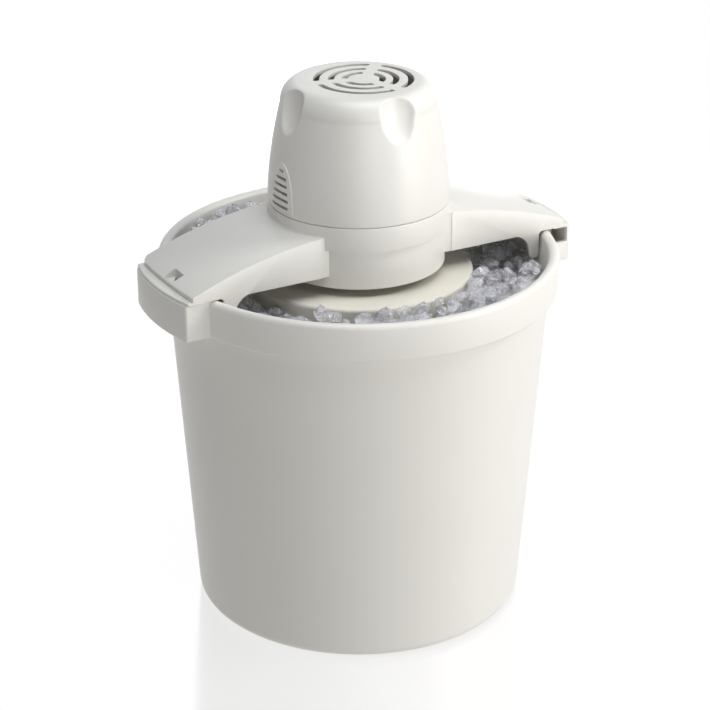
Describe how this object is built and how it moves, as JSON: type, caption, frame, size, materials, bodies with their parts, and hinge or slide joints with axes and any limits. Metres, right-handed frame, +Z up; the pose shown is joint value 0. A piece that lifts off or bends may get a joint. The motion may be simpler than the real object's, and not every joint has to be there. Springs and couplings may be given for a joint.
{
  "type": "ice cream freezer",
  "caption": "Bucket ice cream freezer: ice bucket with ears, turning canister with lid and still dasher, lift-off motor bridge with geared drive.",
  "frame": {"origin": "centre of the bucket's foot, on the surface that it stands on", "axes": "+Z up along the bucket's axis, +X along the bridge towards the ear whose window faces -Y, -Y the side seen from the front"},
  "size_m": [0.32, 0.286, 0.393],
  "materials": {
    "shell_white": "satin moulded, warm off-white",
    "lid_cream": "satin moulded, cream",
    "canister_aluminium": "spun, satin",
    "dasher_white": "moulded, white",
    "nylon": "natural nylon",
    "steel": "zinc plated",
    "laminated_steel": "stacked laminations",
    "bronze": "sintered",
    "copper_winding": "enamelled wire under tape",
    "black_rubber": "matt"
  },
  "bodies": {
    "bucket": {"bucket": "shell_white"},
    "canister": {"canister": "canister_aluminium"},
    "canister_lid": {"canister_lid": "lid_cream"},
    "dasher": {"dasher_frame": "dasher_white", "dasher_scraper_1": "nylon", "dasher_scraper_2": "nylon"},
    "motor_unit": {"bridge_housing": "shell_white", "motor_cover": "shell_white", "cover_screw_1": "steel", "cover_screw_2": "steel", "cover_screw_3": "steel", "cover_screw_4": "steel", "gear_plate": "steel", "dasher_socket": "nylon", "socket_screw_1": "steel", "socket_screw_2": "steel", "socket_screw_3": "steel", "output_bush": "bronze", "idler_pin": "steel", "stator_core": "laminated_steel", "field_coil": "copper_winding", "bearing_bush_lower": "bronze", "bearing_bush_upper": "bronze", "bearing_strap": "steel", "motor_bolt_1": "steel", "motor_bolt_2": "steel", "cord_gland": "black_rubber"},
    "output_drive": {"output_gear": "nylon", "drive_coupler": "nylon", "coupler_screw_1": "steel", "coupler_screw_2": "steel", "coupler_screw_3": "steel"},
    "idler": {"idler_gear": "nylon"},
    "rotor": {"motor_shaft": "steel", "motor_pinion": "bronze", "rotor_core": "laminated_steel", "cooling_fan": "dasher_white"}
  },
  "joints": [
    {"name": "canister_spin", "type": "hinge", "parent": "bucket", "child": "canister", "pos_m": [0, 0, 0], "axis": [0, 0, 1], "continuous": true},
    {"name": "lid_lift", "type": "slide", "parent": "canister", "child": "canister_lid", "axis": [0, 0, 1], "range_m": [0, 0.288]},
    {"name": "dasher_lift", "type": "slide", "parent": "bucket", "child": "dasher", "axis": [0, 0, 1], "range_m": [0, 0.2496]},
    {"name": "motor_unit_lift", "type": "slide", "parent": "bucket", "child": "motor_unit", "axis": [0, 0, 1], "range_m": [0, 0.32]},
    {"name": "output_spin", "type": "hinge", "parent": "motor_unit", "child": "output_drive", "pos_m": [0, 0, 0.297], "axis": [0, 0, 1], "continuous": true},
    {"name": "idler_spin", "type": "hinge", "parent": "motor_unit", "child": "idler", "pos_m": [0, -0.03, 0.3], "axis": [0, 0, 1], "continuous": true},
    {"name": "rotor_spin", "type": "hinge", "parent": "motor_unit", "child": "rotor", "pos_m": [0, 0, 0.337], "axis": [0, 0, 1], "continuous": true}
  ],
  "couplings": [
    {"joint": "output_spin", "follows": "canister_spin", "ratio": 1},
    {"joint": "idler_spin", "follows": "canister_spin", "ratio": -4},
    {"joint": "rotor_spin", "follows": "canister_spin", "ratio": 20},
    {"joint": "lid_lift", "follows": "motor_unit_lift", "ratio": 0.9},
    {"joint": "dasher_lift", "follows": "motor_unit_lift", "ratio": 0.78}
  ]
}
